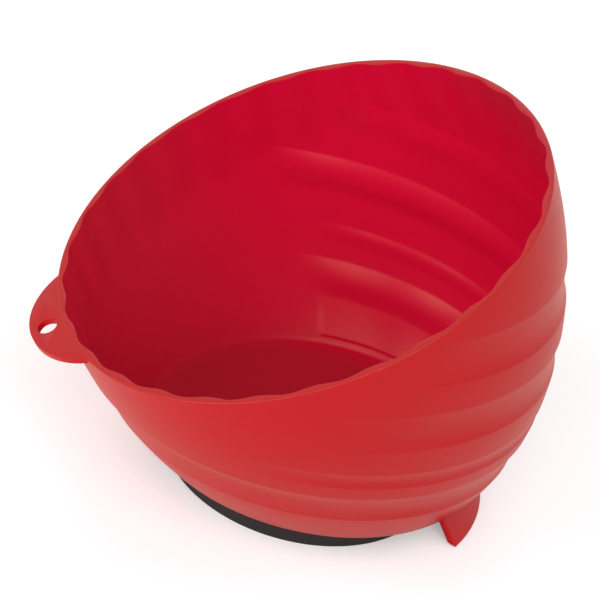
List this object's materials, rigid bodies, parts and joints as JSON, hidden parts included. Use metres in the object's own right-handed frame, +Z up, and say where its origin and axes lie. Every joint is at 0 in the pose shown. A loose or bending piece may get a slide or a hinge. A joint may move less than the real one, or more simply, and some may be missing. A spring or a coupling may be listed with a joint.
{
  "type": "magnetic parts tray",
  "caption": "Leaning egg-shaped plastic bowl with level ribs, a scalloped mouth and a hanging tab, standing on a rubber-jacketed magnet that holds it to steel and keeps small parts in it.",
  "frame": {"origin": "centre of the magnet's round underside, on the ground plane", "axes": "+Z up out of the magnet's face, +X towards the bowl's high side, so that the mouth leans to -X where the hanging tab is; the object is mirror symmetric about the plane Y = 0"},
  "size_m": [0.1613, 0.15, 0.127],
  "materials": {
    "bowl_plastic": "red polypropylene, injection moulded, satin gloss",
    "jacket_rubber": "black moulded rubber, matte",
    "disc_steel": "zinc-plated mild steel plate",
    "bush_steel": "turned and zinc-plated steel",
    "screw_steel": "zinc-plated steel, bright",
    "magnet_nickel": "nickel-plated sintered magnet"
  },
  "bodies": {
    "root": {"bowl": "bowl_plastic", "hanging_tab": "bowl_plastic", "base_jacket": "jacket_rubber", "steel_disc": "disc_steel", "thread_bush": "bush_steel", "centre_screw": "screw_steel", "screw_washer": "screw_steel", "magnet_outer_01": "magnet_nickel", "magnet_outer_02": "magnet_nickel", "magnet_outer_03": "magnet_nickel", "magnet_outer_04": "magnet_nickel", "magnet_outer_05": "magnet_nickel", "magnet_outer_06": "magnet_nickel", "magnet_outer_07": "magnet_nickel", "magnet_outer_08": "magnet_nickel", "magnet_outer_09": "magnet_nickel", "magnet_outer_10": "magnet_nickel", "magnet_outer_11": "magnet_nickel", "magnet_outer_12": "magnet_nickel", "magnet_inner_01": "magnet_nickel", "magnet_inner_02": "magnet_nickel", "magnet_inner_03": "magnet_nickel", "magnet_inner_04": "magnet_nickel", "magnet_inner_05": "magnet_nickel", "magnet_inner_06": "magnet_nickel"}
  },
  "joints": []
}
